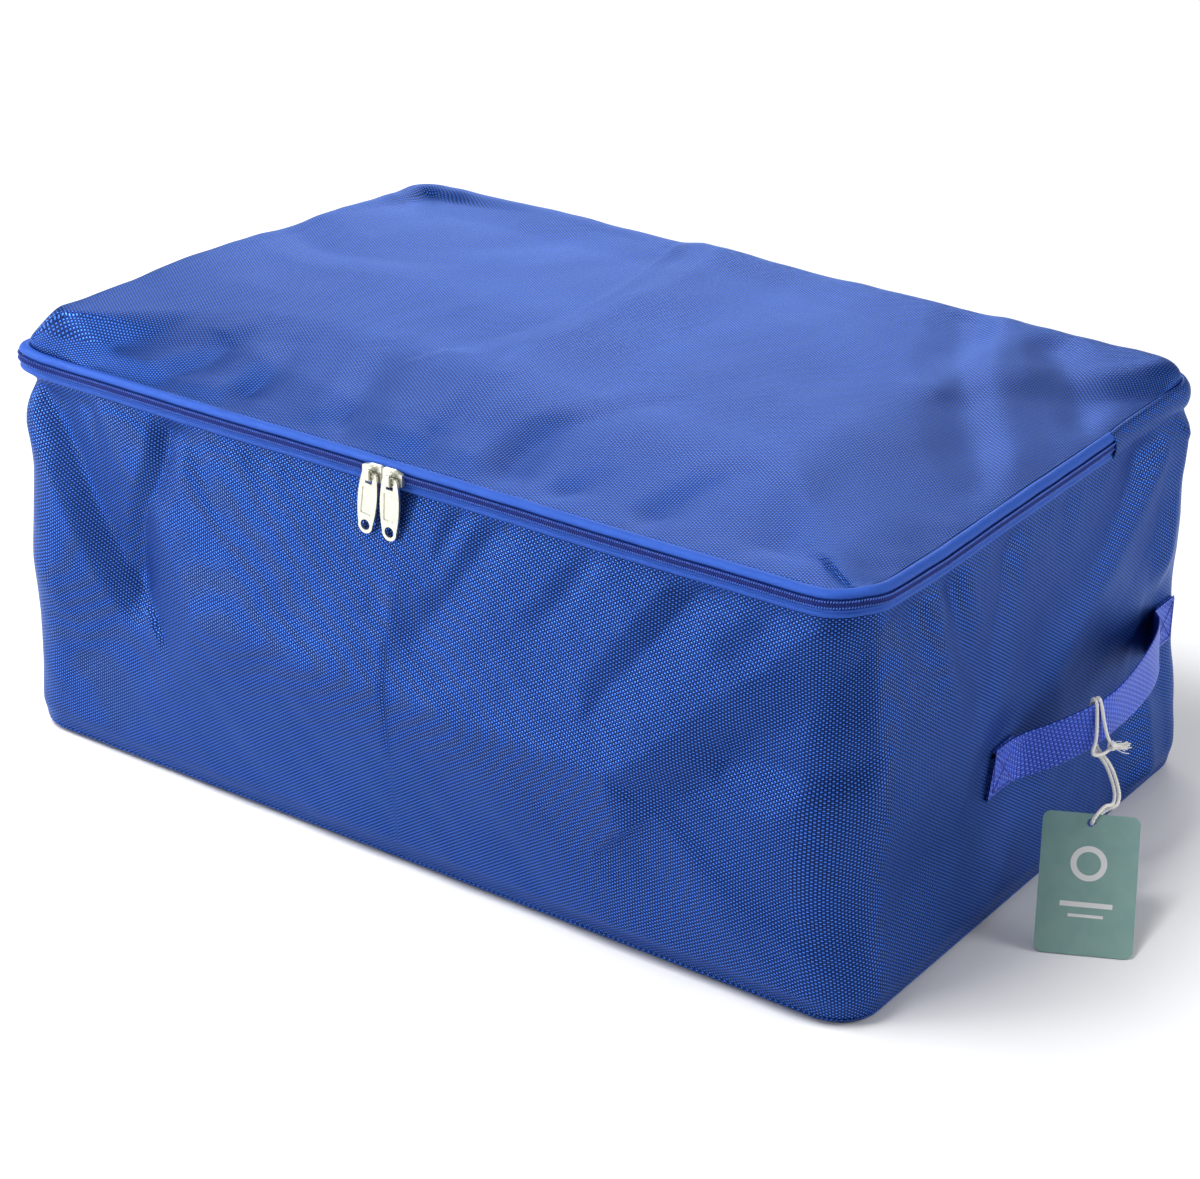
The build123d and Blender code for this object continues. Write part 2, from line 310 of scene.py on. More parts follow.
def join_arrays(parts):
    """One vertex list and one face list from several."""
    verts, faces = [], []
    for part_verts, part_faces in parts:
        start = len(verts)
        verts += list(part_verts)
        faces += [tuple(start + k for k in face) for face in part_faces]
    return verts, faces


# A bead's rings of vertices: share of the half length from its middle, share of the half width.
BEAD_SIDES = 6
BEAD_RINGS = [(-0.86, 0.5), (-0.4, 0.92), (0.4, 0.92), (0.86, 0.5)]


def bead_arrays(centre, half_long, half_wide, half_deep):
    """A rounded bead; the three half sizes are vectors: its long axis and its two short ones."""
    verts = [centre - half_long]
    for along, swell in BEAD_RINGS:
        for k in range(BEAD_SIDES):
            turned = around(math.tau * k / BEAD_SIDES, half_wide, half_deep)
            verts.append(centre + half_long * along + swell * turned)
    verts.append(centre + half_long)
    last = len(verts) - 1
    top = last - BEAD_SIDES
    faces = ring_faces(len(BEAD_RINGS), BEAD_SIDES, first=1)
    for k in range(BEAD_SIDES):
        nxt = (k + 1) % BEAD_SIDES
        faces += [(0, 1 + nxt, 1 + k), (top + k, top + nxt, last)]
    return verts, faces


# ======== Materials ========
class Nodes:
    """Short calls for building one material's node tree."""

    def __init__(self, name):
        self.material = bpy.data.materials.new(name)
        self.material.use_nodes = True
        self.tree = self.material.node_tree
        self.shader = self.tree.nodes["Principled BSDF"]

    def new(self, kind, **settings):
        node = self.tree.nodes.new(kind)
        for key, value in settings.items():
            setattr(node, key, value)
        return node

    def set(self, socket, value):
        if isinstance(value, bpy.types.NodeSocket):
            self.tree.links.new(value, socket)
        else:
            socket.default_value = value

    def math(self, operation, first, second=0.0):
        node = self.new("ShaderNodeMath", operation=operation)
        self.set(node.inputs[0], first)
        self.set(node.inputs[1], second)
        return node.outputs[0]

    def ramp(self, value, low, high, to_low=0.0, to_high=1.0):
        node = self.new("ShaderNodeMapRange", interpolation_type="SMOOTHSTEP")
        for socket, number in zip(node.inputs, (value, low, high, to_low, to_high)):
            self.set(socket, number)
        return node.outputs[0]

    def mix(self, share, first, second):
        node = self.new("ShaderNodeMix", data_type="RGBA")
        for socket, value in (("Factor", share), ("A", first), ("B", second)):
            self.set(node.inputs[socket], value)
        return node.outputs["Result"]

    def noise(self, scale, detail=2.0, vector=None):
        node = self.new("ShaderNodeTexNoise")
        node.inputs["Scale"].default_value = scale
        node.inputs["Detail"].default_value = detail
        if vector is None:
            vector = self.new("ShaderNodeTexCoord").outputs["Object"]
        self.set(node.inputs["Vector"], vector)
        return node.outputs["Fac"]

    def wave(self, value, period):
        """Cosine of a length, with this period."""
        return self.math("COSINE", self.math("MULTIPLY", value, math.tau / period))

    def add(self, first, second, share):
        """The first value and a share of the second."""
        return self.math("ADD", first, self.math("MULTIPLY", second, share))

    def uv(self):
        node = self.new("ShaderNodeSeparateXYZ")
        self.set(node.inputs[0], self.new("ShaderNodeUVMap", uv_map="UVMap").outputs[0])
        return node.outputs["X"], node.outputs["Y"]

    def bump(self, height, distance):
        node = self.new("ShaderNodeBump")
        node.inputs["Strength"].default_value = 1.0
        node.inputs["Distance"].default_value = distance
        self.set(node.inputs["Height"], height)
        self.set(self.shader.inputs["Normal"], node.outputs[0])

    def finish(self, **inputs):
        for key, value in inputs.items():
            self.set(self.shader.inputs[key.replace("_", " ")], value)
        return self.material


def plain_weave(nodes, pitch_u, pitch_v):
    """Crowns of a plain weave: 1 on a warp crown, -1 on a weft crown, 0 between them."""
    u, v = nodes.uv()
    return nodes.math("MULTIPLY", nodes.wave(u, 2 * pitch_u), nodes.wave(v, 2 * pitch_v))


def bag_cloth():
    """Filament cloth in plain weave with painted light in its colour: painted glints on the pale warp
    crowns, deeper weft crowns, and painted shade in the dark gaps between the yarns.
    """
    # gap is painted shade between the yarns, weft is the deeper yarn colour, and warp is the crowns'
    # colour with a painted glint.
    gap, weft, warp = (0.0015, 0.006, 0.045, 1), (0.008, 0.032, 0.21, 1), (0.06, 0.212, 0.83, 1)
    nodes = Nodes("bag_cloth")
    crowns = plain_weave(nodes, WARP_PITCH, WEFT_PITCH)
    height = nodes.math("POWER", nodes.math("ABSOLUTE", crowns), 0.7)
    # Painted shade in the gaps, then painted glints on the warp crowns.
    colour = nodes.mix(nodes.ramp(crowns, -0.1, -0.8), gap, weft)
    colour = nodes.mix(nodes.ramp(crowns, 0.1, 0.8), colour, warp)
    cloudy = nodes.ramp(nodes.noise(9.0), 0.3, 0.7, to_high=0.08)
    colour = nodes.mix(cloudy, colour, gap)
    slubs = nodes.noise(900.0, detail=1.0)
    nodes.bump(nodes.add(height, slubs, 0.25), WEAVE_RELIEF)
    return nodes.finish(
        Base_Color=colour, Roughness=0.33, Metallic=0.55, Specular_IOR_Level=0.4,
        Specular_Tint=(0.35, 0.55, 1.0, 1.0),
    )


def ribbon_cloth(name, deep, pale, pitch, relief, roughness):
    """Tape or binding with fine cross ribs."""
    nodes = Nodes(name)
    ribs, cords = (nodes.wave(way, pitch) for way in nodes.uv())
    height = nodes.add(ribs, cords, 0.5)
    # Paler on the ribs' crowns and deeper in the grooves between them: painted light and painted shade
    # that follow the ribs.
    colour = nodes.mix(nodes.ramp(height, -1.2, 1.2), deep, pale)
    worn = nodes.ramp(nodes.noise(60.0), 0.35, 0.7, to_high=0.2)
    nodes.bump(height, relief)
    return nodes.finish(
        Base_Color=nodes.mix(worn, colour, deep), Roughness=roughness, Metallic=0.3,
        Specular_IOR_Level=0.4, Specular_Tint=(0.5, 0.7, 1.0, 1.0),
    )


def webbing_cloth():
    """Heavy webbing: long pale floats in brick order on a deep ground. The pale floats carry painted
    glints, and the deep ground between them is painted shade.
    """
    # pale is the floats' painted glint, deep is painted shade between the floats, and middle is the
    # webbing's own blue.
    deep, middle, pale = (0.013, 0.034, 0.36, 1), (0.05, 0.115, 0.8, 1), (0.13, 0.29, 1.0, 1)
    nodes = Nodes("webbing")
    crowns = plain_weave(nodes, 2.4 * MM, 1.6 * MM)
    floats = nodes.ramp(crowns, 0.1, 0.75)
    backs = nodes.ramp(crowns, -0.2, -0.8)
    # Painted glints on the floats over painted shade between them.
    colour = nodes.mix(floats, nodes.mix(backs, deep, middle), pale)
    fibres = nodes.noise(1500.0, detail=1.0)
    nodes.bump(nodes.add(nodes.math("ABSOLUTE", crowns), fibres, 0.3), 0.45 * MM)
    return nodes.finish(Base_Color=colour, Roughness=0.4, Metallic=0.35, Specular_IOR_Level=0.4)


def grained(name, deep, pale, scale, relief, high=0.7, detail=3.0, **looks):
    """Fibrous stuff: its colour and its relief follow one fine grain."""
    nodes = Nodes(name)
    grain = nodes.noise(scale, detail=detail)
    nodes.bump(grain, relief)
    # The colour is deeper where the grain's relief is low, as painted shade in its hollows.
    return nodes.finish(Base_Color=nodes.mix(nodes.ramp(grain, 0.3, high), deep, pale), **looks)


def thread_cloth(name, colour, roughness=0.5):
    """Twisted thread, darker between its fibres, where its colour holds painted shade."""
    # deep is the thread's colour in painted shade, for the hollows between the fibres.
    deep = tuple(0.6 * c for c in colour[:3]) + (1.0,)
    return grained(name, deep, colour, 1800.0, 0.1 * MM, detail=1.0, Roughness=roughness)


def nickel_metal():
    """Pale plated zinc with fine brush marks and a little tarnish."""
    bright, dull = (0.66, 0.66, 0.58, 1), (0.45, 0.44, 0.36, 1)
    nodes = Nodes("nickel")
    stretch = nodes.new("ShaderNodeMapping")
    stretch.inputs["Scale"].default_value = (1.0, 1.0, 0.08)
    nodes.set(stretch.inputs["Vector"], nodes.new("ShaderNodeTexCoord").outputs["Object"])
    brushed = nodes.noise(2600.0, vector=stretch.outputs[0])
    tarnish = nodes.ramp(nodes.noise(240.0, detail=3.0), 0.4, 0.75, to_high=0.35)
    nodes.bump(brushed, 0.02 * MM)
    return nodes.finish(
        Base_Color=nodes.mix(tarnish, bright, dull), Metallic=0.9,
        Roughness=nodes.ramp(brushed, 0.2, 0.8, 0.22, 0.36),
    )


def card_stock():
    """Matt card, a little mottled."""
    deep, pale = (0.20, 0.355, 0.325, 1), (0.225, 0.385, 0.35, 1)
    nodes = Nodes("card")
    grain = nodes.noise(1400.0, detail=3.0)
    mottle = nodes.ramp(nodes.noise(90.0), 0.3, 0.7)
    nodes.bump(grain, 0.02 * MM)
    return nodes.finish(Base_Color=nodes.mix(mottle, deep, pale), Roughness=0.55)


def white_ink():
    """Printed white, thin enough for the card's grain to show."""
    thin, full = (0.70, 0.71, 0.70, 1), (0.82, 0.82, 0.80, 1)
    nodes = Nodes("white_ink")
    grain = nodes.noise(1400.0, detail=3.0)
    nodes.bump(grain, 0.01 * MM)
    return nodes.finish(Base_Color=nodes.mix(grain, thin, full), Roughness=0.5)


cloth_material = bag_cloth()
tape_material = ribbon_cloth(
    "zip_tape_cloth", deep=(0.015, 0.065, 0.38, 1), pale=(0.035, 0.118, 0.53, 1),
    pitch=0.55 * MM, relief=0.05 * MM, roughness=0.45,
)
binding_material = ribbon_cloth(
    "binding_cloth", deep=(0.015, 0.05, 0.3, 1), pale=(0.03, 0.09, 0.45, 1),
    pitch=0.8 * MM, relief=0.08 * MM, roughness=0.6,
)
coil_material = thread_cloth("coil_nylon", (0.004, 0.03, 0.3, 1), roughness=0.7)
coil_stitch_material = thread_cloth("coil_stitch", (0.07, 0.2, 0.8, 1))
seam_thread_material = thread_cloth("seam_thread", (0.03, 0.05, 0.42, 1))
webbing_material = webbing_cloth()
nickel_material = nickel_metal()
card_material = card_stock()
ink_material = white_ink()
# The cotton's deeper colour lies in the grain's hollows. It is partly its own warmer tone and partly
# painted shade.
string_material = grained(
    "cotton", (0.78, 0.76, 0.71, 1), (0.96, 0.95, 0.92, 1), 1300.0, 0.12 * MM, high=0.75,
    Roughness=0.85, Sheen_Weight=0.3,
)


# ======== Folds of the cloth ========
# A fold is a line of points in millimetres on a panel, with its height (negative for a valley), how far
# it reaches to the left and to the right of the line as it is walked, how round its crest is, and
# the share of its height that is left at the line's last point.
Fold = namedtuple("Fold", "points height left right crest last", defaults=(1.0,))
FOLD_POINT = 1.35  # above 1, a fold's flanks are hollow and its crest is sharper

# Front wall: along the front and up. The mid-height fold and the diagonals are where it packs flat.
FRONT_FOLDS = [
    Fold([(-292, 240), (-256, 197), (-232, 160), (-203, 121)], -7.0, 48, 22, 1.2, 0.9),
    Fold([(-203, 121), (-236, 78), (-268, 30)], -2.6, 50, 60, 4.0, 0.5),
    Fold([(172, 118), (200, 124), (252, 127)], -1.8, 12, 9, 1.0, 0.3),
    Fold([(226, 146), (262, 150), (300, 157)], -2.6, 22, 16, 2.0, 0.7),
    Fold([(188, 105), (245, 164), (292, 212)], -8.0, 25, 62, 4.0, 0.7),
    Fold([(183, 104), (215, 82), (242, 61), (276, 42)], 1.8, 12, 30, 1.0, 0.6),
    Fold([(-246, 243), (-233, 208)], -2.2, 9, 11, 1.5, 0.2),
    Fold([(-181, 243), (-183, 208), (-199, 172), (-204, 134)], -5.0, 18, 12, 1.2, 0.6),
    Fold([(-172, 240), (-152, 222), (-136, 196)], -1.8, 10, 12, 1.5, 0.2),
    Fold([(-110, 241), (-96, 212)], -1.4, 10, 12, 2.0, 0.1),
    Fold([(42, 240), (26, 202)], -3.2, 10, 10, 1.0, 0.3),
    Fold([(10, 228), (4, 200), (-4, 150)], 2.6, 14, 10, 2.0, 0.2),
    Fold([(70, 242), (44, 196), (20, 160)], -3.0, 20, 14, 1.5, 0.3),
    Fold([(133, 240), (112, 203), (100, 190)], -2.2, 11, 12, 1.5, 0.3),
    Fold([(204, 243), (178, 203), (150, 165)], -5.4, 26, 14, 1.5, 0.4),
    Fold([(256, 243), (226, 205)], -1.4, 14, 14, 2.0, 0.2),
]

# Right end wall: along the wall from its middle towards the back, and up.
END_FOLDS = [
    Fold([(-150, 118), (-40, 116), (120, 112)], 5.0, 118, 110, 14.0),
    Fold([(-150, 242), (-138, 205)], -3.0, 12, 14, 1.5, 0.3),
    Fold([(-108, 242), (-95, 200), (-68, 148)], -5.0, 16, 20, 2.0, 0.2),
    Fold([(-122, 236), (-112, 190), (-92, 150)], 3.4, 18, 14, 3.0, 0.3),
    Fold([(-36, 240), (-60, 182), (-78, 150)], -3.4, 22, 20, 3.0, 0.2),
    Fold([(150, 226), (90, 182), (20, 140), (-30, 116)], 5.0, 30, 34, 4.0, 0.3),
    Fold([(118, 228), (60, 184), (0, 160)], -4.6, 26, 28, 4.0, 0.3),
    Fold([(176, 224), (158, 140), (140, 10)], 5.0, 26, 20, 3.0, 0.8),
    Fold([(150, 120), (120, 60), (98, 8)], -3.6, 26, 24, 4.0, 0.8),
    Fold([(30, 240), (14, 205)], -2.4, 16, 14, 3.0, 0.2),
]

# Lid: across and towards the back.
LID_FOLDS = [
    Fold([(-250, -196), (-225, -150), (-215, -90)], -3.0, 20, 26, 2.5, 0.2),
    Fold([(-196, -199), (-180, -160), (-176, -110)], -3.4, 16, 20, 2.0, 0.2),
    Fold([(-142, -199), (-136, -160), (-150, -120)], -3.6, 14, 18, 2.0, 0.2),
    Fold([(-165, -140), (-100, -152), (-35, -158)], 2.0, 40, 26, 5.0, 0.6),
    Fold([(4, -192), (-8, -120), (-32, 20), (-24, 100), (-34, 196)], 4.4, 110, 60, 2.0, 0.8),
    Fold([(6, -199), (-3, -153), (-11, -111)], -3.4, 14, 20, 1.5, 0.2),
    Fold([(-53, -199), (-73, -148), (-98, -93)], -3.8, 18, 24, 1.5, 0.2),
    Fold([(-75, 190), (-55, 90), (-41, 7), (-60, -60)], -3.6, 20, 60, 2.0, 0.4),
    Fold([(60, -199), (52, -140), (76, -70)], -3.0, 20, 30, 3.0, 0.3),
    Fold([(150, 196), (198, 84), (286, -40)], -2.6, 34, 30, 3.0, 0.7),
    Fold([(166, 196), (216, 92), (298, -26)], 2.2, 24, 26, 3.0, 0.7),
    Fold([(199, 60), (192, 100), (190, 140)], 1.6, 24, 22, 3.0, 0.4),
    Fold([(220, 160), (296, 66)], -2.0, 22, 20, 3.0, 0.7),
    Fold([(232, -168), (224, -112), (216, -60)], -2.0, 26, 30, 5.0, 0.2),
    Fold([(150, -196), (158, -160), (170, -120)], -2.6, 18, 20, 2.5, 0.2),
    Fold([(90, -197), (104, -160)], -2.8, 14, 16, 2.0, 0.2),
    Fold([(-296, 40), (-240, 20), (-180, 40)], -2.6, 34, 30, 6.0, 0.3),
    Fold([(-120, 196), (-150, 120), (-200, 60)], -2.4, 40, 44, 8.0, 0.3),
]


def rounded_line(points, pieces=6):
    """A smooth line through a few points."""
    points = np.array(points, float)
    if len(points) == 2:
        return points
    ends = np.vstack([2 * points[0] - points[1], points, 2 * points[-1] - points[-2]])
    line = []
    for k in range(1, len(ends) - 2):
        a, b, c, d = ends[k - 1 : k + 3]
        for t in np.arange(pieces) / pieces:
            line.append(
                0.5 * (2 * b + (c - a) * t + (2 * a - 5 * b + 4 * c - d) * t**2
                       + (3 * b - a - 3 * c + d) * t**3)
            )
    return np.array(line + [points[-1]])


def fold_height(fold, u, v):
    """Height of one fold at panel places u, v (millimetres)."""
    line = rounded_line(fold.points)
    nearest = np.full(u.shape, np.inf)
    side = np.zeros(u.shape)
    along = np.zeros(u.shape)
    for k, (a, b) in enumerate(zip(line, line[1:])):
        run = b - a
        t = np.clip(((u - a[0]) * run[0] + (v - a[1]) * run[1]) / (run @ run), 0, 1)
        gap = np.hypot(u - a[0] - t * run[0], v - a[1] - t * run[1])
        closer = gap < nearest
        nearest = np.where(closer, gap, nearest)
        side = np.where(closer, run[0] * (v - a[1]) - run[1] * (u - a[0]), side)
        along = np.where(closer, (k + t) / (len(line) - 1), along)
    reach = np.where(side > 0, fold.left, fold.right)
    away = np.sqrt(nearest**2 + fold.crest**2) - fold.crest
    shape = np.clip(1 - away / reach, 0, 1) ** FOLD_POINT
    return fold.height * (1 + (fold.last - 1) * along) * shape


def all_folds(folds, u, v):
    return sum(fold_height(fold, u, v) for fold in folds)


# The front bulges in flat facets that meet at the fold the bag is packed flat along.
RIDGE_Z = 121.0
RIDGE_HEIGHTS = [(-300, 4), (-270, 9), (-203, 8.5), (-119, 14), (-60, 16), (26, 18), (171, 25), (300, 25)]
FACET_TOP_Z, FACET_FOOT_Z = 243.0, -4.0
FACET_ROUND = 0.7
# Under the right slider's way the upper facet is pressed in, so that the pull passes in front of it.
PULL_DENT, PULL_DENT_X, PULL_DENT_Z = 0.42, (205, 250), (188, 222)
# The facet at the front's right end: its height at one place, and its slopes along the front and up.
END_FACET_X, END_FACET_HEIGHT, END_FACET_SLOPE = 171, 25, 0.165
END_FACET_LEAN_UP, END_FACET_LEAN_DOWN = -0.03, 0.06
CORNER_X, CORNER_SLOPE = 298, 0.3


def softest(first, second):
    """The lower of two surfaces, with the edge where they cross rounded over."""
    low, high = np.minimum(first, second), np.maximum(first, second)
    return low - FACET_ROUND * np.log1p(np.exp((low - high) / FACET_ROUND))


def front_facets(x, z):
    """Height of the front wall's big flat facets (millimetres)."""
    ridge = np.interp(x, *np.array(RIDGE_HEIGHTS, float).T)
    dent = PULL_DENT * smoothstep(*PULL_DENT_X, x) * smoothstep(*PULL_DENT_Z, z)
    upper = ridge * (FACET_TOP_Z - z) / (FACET_TOP_Z - RIDGE_Z) * (1 - dent)
    lower = ridge * (z - FACET_FOOT_Z) / (RIDGE_Z - FACET_FOOT_Z)
    lean = np.where(z > RIDGE_Z, END_FACET_LEAN_UP, END_FACET_LEAN_DOWN) * (z - RIDGE_Z)
    end = END_FACET_HEIGHT - END_FACET_SLOPE * (x - END_FACET_X) + lean
    return softest(softest(upper, lower), softest(CORNER_SLOPE * (CORNER_X - x), end))


# Each wall: the arc length of its middle, the way its folds run, its folds, how strong they are, and
# how strong the front's facets are on it.
Wall = namedtuple("Wall", "middle direction folds fold_share facet_share")
WALLS = [
    Wall(0.0, 1, FRONT_FOLDS, 1.3, 1.0),
    Wall(RIGHT_WALL_S / MM, 1, END_FOLDS, 1.1, 0.0),
    Wall(BACK_S / MM, -1, FRONT_FOLDS, 0.7, 0.6),
    Wall(-RIGHT_WALL_S / MM, -1, END_FOLDS, 0.9, 0.0),
]
FRONT, RIGHT, _, LEFT = WALLS
# Middles of the handles' sewn ends on an end wall, along it and up. The wall is flat as far as the
# first distance from them, and free from the second.
PATCHES = {"front": (-29.5, 90.0), "back": (175.5, 102.5)}
PATCH_FLAT, PATCH_CLEAR = 17, 62
# The cloth is stiff just under the zip, and below that it is puffed out and puckered.
ZIP_STIFF, PUFF, PUFF_REACH, PUCKER_REACH = 9.0, 3.0, 22, 26


def along_wall(s, wall):
    """Arc length from a wall's middle, in the direction its folds run (millimetres)."""
    length = PERIMETER / MM
    return ((s - wall.middle + length / 2) % length - length / 2) * wall.direction


def clear_of_patches(s, z):
    """0 where the handles' ends are sewn flat on the end walls, 1 away from them."""
    share = np.ones_like(s)
    for wall in (RIGHT, LEFT):
        for y, height in PATCHES.values():
            away = np.hypot(along_wall(s, wall) - y, z - height)
            share *= smoothstep(PATCH_FLAT, PATCH_CLEAR, away)
    return share


def wall_swell(s, z):
    """How far the wall stands outside its flat place, at arc length s and height z (millimetres)."""
    under_zip = np.clip(ZIP_Z / MM - ZIP_STIFF - z, 0, None)
    total = PUFF * (1 - np.exp(-under_zip / PUFF_REACH))
    total = total + ripples(s, z, WALL_WAVE) + ripples(s, z, WALL_FINE_WAVE)
    for wall in WALLS:
        u = along_wall(s, wall)
        total += wall.fold_share * all_folds(wall.folds, u, z)
        if wall.facet_share:
            facets = np.clip(front_facets(u, z), 0, None)
            total += wall.facet_share * np.where(np.abs(u) < HALF_W / MM, facets, 0)
    puckers = ripples(s, z * 0.5, PUCKERS) * np.exp(-under_zip / PUCKER_REACH)
    return total * clear_of_patches(s, z) + puckers


WALL_TOP_BELOW_ZIP = 6.7 * MM
FOOT_ROWS = 6
SEAM_GROOVE = 1.2 * MM
EDGE_FADE = 14 * MM
# Behind the hanging pulls the wall keeps inside a slope that starts at the zip. Where that begins and
# ends along the front, and how high, it fades between two values (millimetres).
PULLS_FROM, PULLS_TO, PULLS_Z = (-60, -36), (14, 40), (175, 205)
PULL_SLOPE, PULL_SLOPE_START = 0.19, 6 * MM


def wall_panel():
    """The one long strip of cloth round the four sides, from the bottom seam up to the zip."""
    rows_up = round((ZIP_Z - BASE_R) / GRID)
    s, base, outward, points, uv = closed_loop(GRID, FOOT_ROWS + rows_up)
    top = ZIP_Z - WALL_TOP_BELOW_ZIP + zip_rise(s)
    foot = np.linspace(math.asin(1 - SEAM_Z / BASE_R), 0, FOOT_ROWS)
    front_s = along_wall(s / MM, FRONT)
    near_pulls = smoothstep(*PULLS_FROM, front_s) * (1 - smoothstep(*PULLS_TO, front_s))
    for j in range(FOOT_ROWS + rows_up):
        if j < FOOT_ROWS:
            out = -BASE_R * (1 - math.cos(foot[j]))
            z = np.full_like(s, BASE_R * (1 - math.sin(foot[j])))
            uv[:, j, 1] = BASE_R * (1 - foot[j])
        else:
            out = 0.0
            z = BASE_R + (j - FOOT_ROWS + 1) / rows_up * (top - BASE_R)
            uv[:, j, 1] = z.mean()
        swell = wall_swell(s / MM, z / MM) * MM
        swell *= smoothstep(SEAM_Z, SEAM_Z + EDGE_FADE, z) * smoothstep(0, EDGE_FADE, top - z)
        limit = np.clip(PULL_SLOPE * (ZIP_Z - PULL_SLOPE_START - z), 0, None)
        behind_pulls = near_pulls * smoothstep(*PULLS_Z, z / MM)
        swell += behind_pulls * (np.minimum(swell, limit) - swell)
        if j == 0:
            swell -= SEAM_GROOVE
        points[:, j] = base + outward * (out + swell)[:, None]
        points[:, j, 2] = z
    piece = cloth_object("wall_cloth", points, uv, cloth_material, "bag", closed=True)
    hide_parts("wall_band")


# ======== Flat panels with rounded corners: lid and bottom ========
def inset_of(x, y):
    """Distance inwards from the wall's outline."""
    qx = np.abs(x) - STRAIGHT_X
    qy = np.abs(y) - STRAIGHT_Y
    outside = np.hypot(np.clip(qx, 0, None), np.clip(qy, 0, None))
    return CORNER_R - outside - np.minimum(np.maximum(qx, qy), 0)


def graded(half, fine_zone, fine, coarse):
    """Places from -half to half, closely spaced near both ends."""
    edge = np.arange(round(fine_zone / fine)) * fine
    middle = 2 * (half - fine_zone)
    inner = np.linspace(-half + fine_zone, half - fine_zone, round(middle / coarse) + 1)
    return np.concatenate([-half + edge, inner, (half - edge)[::-1]])


def rounded_panel(inset):
    """Grid of places over a rectangle with round corners, `inset` inside the wall's outline."""
    half_x, half_y, radius = HALF_W - inset, HALF_D - inset, CORNER_R - inset
    xs, ys = (graded(half, radius, FINE_GRID, COARSE_GRID) for half in (half_x, half_y))
    x, y = (a.copy() for a in np.meshgrid(xs, ys, indexing="ij"))
    a = np.clip((np.abs(x) - (half_x - radius)) / radius, 0, 1)
    b = np.clip((np.abs(y) - (half_y - radius)) / radius, 0, 1)
    corner = (a > 0) & (b > 0)
    round_x = np.sign(x) * (half_x - radius + radius * a * np.sqrt(1 - b * b / 2))
    round_y = np.sign(y) * (half_y - radius + radius * b * np.sqrt(1 - a * a / 2))
    uv = np.stack([x, y], axis=-1)
    return np.where(corner, round_x, x), np.where(corner, round_y, y), uv


def station_of(x, y):
    """Arc length of the outline's point beside each place."""
    right = np.sign(np.where(x == 0, 1, x))
    towards_side = np.abs(x) / HALF_W > np.abs(y) / HALF_D
    front_or_back = np.where(y < 0, x, right * BACK_S - x)
    return np.where(towards_side, right * (RIGHT_WALL_S + y), front_or_back)


LID_START_ABOVE_ZIP, LID_START_INSET = 6.8 * MM, 2.6 * MM
# The lid rises steeply from its seam at the back and left, and gently at the front and right. A roll is
# how far inwards it rises, and its power is how round it is.
STEEP_ROLL, STEEP_POWER = 22 * MM, 2.4
GENTLE_ROLL, GENTLE_POWER = 120 * MM, 1.5
ROLL_BLEND, LID_ABOVE_CAD = 60 * MM, 0.6 * MM
LID_CROWN, LID_CROWN_INSET = 3.0 * MM, (10 * MM, 110 * MM)
LID_FOLD_SHARE, LID_EDGE_FOLD_SHARE = 1.6, 0.15
LID_INSIDE, SIDE_BLEND = (1 * MM, 26 * MM), 16 * MM
# The waves by the seam are strongest this far inwards, and die out over this reach (millimetres).
SEAM_WAVE_INSET, SEAM_WAVE_REACH = 10, 9
# A raised and a sunken place on the lid: middle, reach along x and y, height.
LID_RAISED = (-0.3, -0.095), (0.105, 0.2), 13.5 * MM
LID_SUNKEN = (-0.285, 0.185), (0.07, 0.07), -11 * MM
LID_RAISED_INSIDE = (0, 15 * MM)


def mound(x, y, middle, reach, height):
    return height * hump(np.hypot((x - middle[0]) / reach[0], (y - middle[1]) / reach[1]), 1)


def lid_panel():
    """The lid: one puffy sheet from the seam behind the upper tape, with rolled edges."""
    x, y, uv = rounded_panel(LID_START_INSET)
    s = station_of(x, y)
    inset = inset_of(x, y) - LID_START_INSET
    steep = np.sqrt(1 - (1 - np.clip(inset / STEEP_ROLL, 0, 1)) ** STEEP_POWER)
    gentle = 1 - (1 - np.clip(inset / GENTLE_ROLL, 0, 1)) ** GENTLE_POWER
    from_front, from_back = np.minimum(HALF_D + y, HALF_W - x), np.minimum(HALF_W + x, HALF_D - y)
    frontness = smoothstep(0, ROLL_BLEND, from_back - from_front)
    edge_z = ZIP_Z + LID_START_ABOVE_ZIP
    z = edge_z + (LID_Z + LID_ABOVE_CAD - edge_z) * (steep + (gentle - steep) * frontness)
    z += zip_rise(s) * (1 - smoothstep(0, ROLL_BLEND, inset))
    z += LID_CROWN * smoothstep(*LID_CROWN_INSET, inset)
    inside = smoothstep(*LID_INSIDE, inset)
    folds = LID_FOLD_SHARE * all_folds(LID_FOLDS, x / MM, y / MM)
    folds += ripples(x / MM, y / MM, LID_WAVE) + ripples(x / MM, y / MM, LID_FINE_WAVE)
    z += folds * MM * (LID_EDGE_FOLD_SHARE + (1 - LID_EDGE_FOLD_SHARE) * inside)
    near_edge = hump(inset / MM - SEAM_WAVE_INSET, SEAM_WAVE_REACH)
    z += MM * near_edge * ripples(s / MM, 0 * s, LID_EDGE_WAVE)
    z += mound(x, y, *LID_RAISED) * smoothstep(*LID_RAISED_INSIDE, inset)
    z += mound(x, y, *LID_SUNKEN) * inside
    drop = np.clip(LID_Z - z, 0, None)
    side_share = smoothstep(-SIDE_BLEND, SIDE_BLEND, (HALF_D - np.abs(y)) - (HALF_W - np.abs(x)))
    uv[..., 0] += np.sign(x) * drop * side_share
    uv[..., 1] += np.sign(y) * drop * (1 - side_share)
    piece = cloth_object("lid_cloth", np.stack([x, y, z], axis=-1), uv, cloth_material)
    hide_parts("lid_flap", "lid_back")
    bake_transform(piece)


SEAM_GAP = 0.3 * MM
BOTTOM_WAVE_INSET = (30 * MM, 70 * MM)


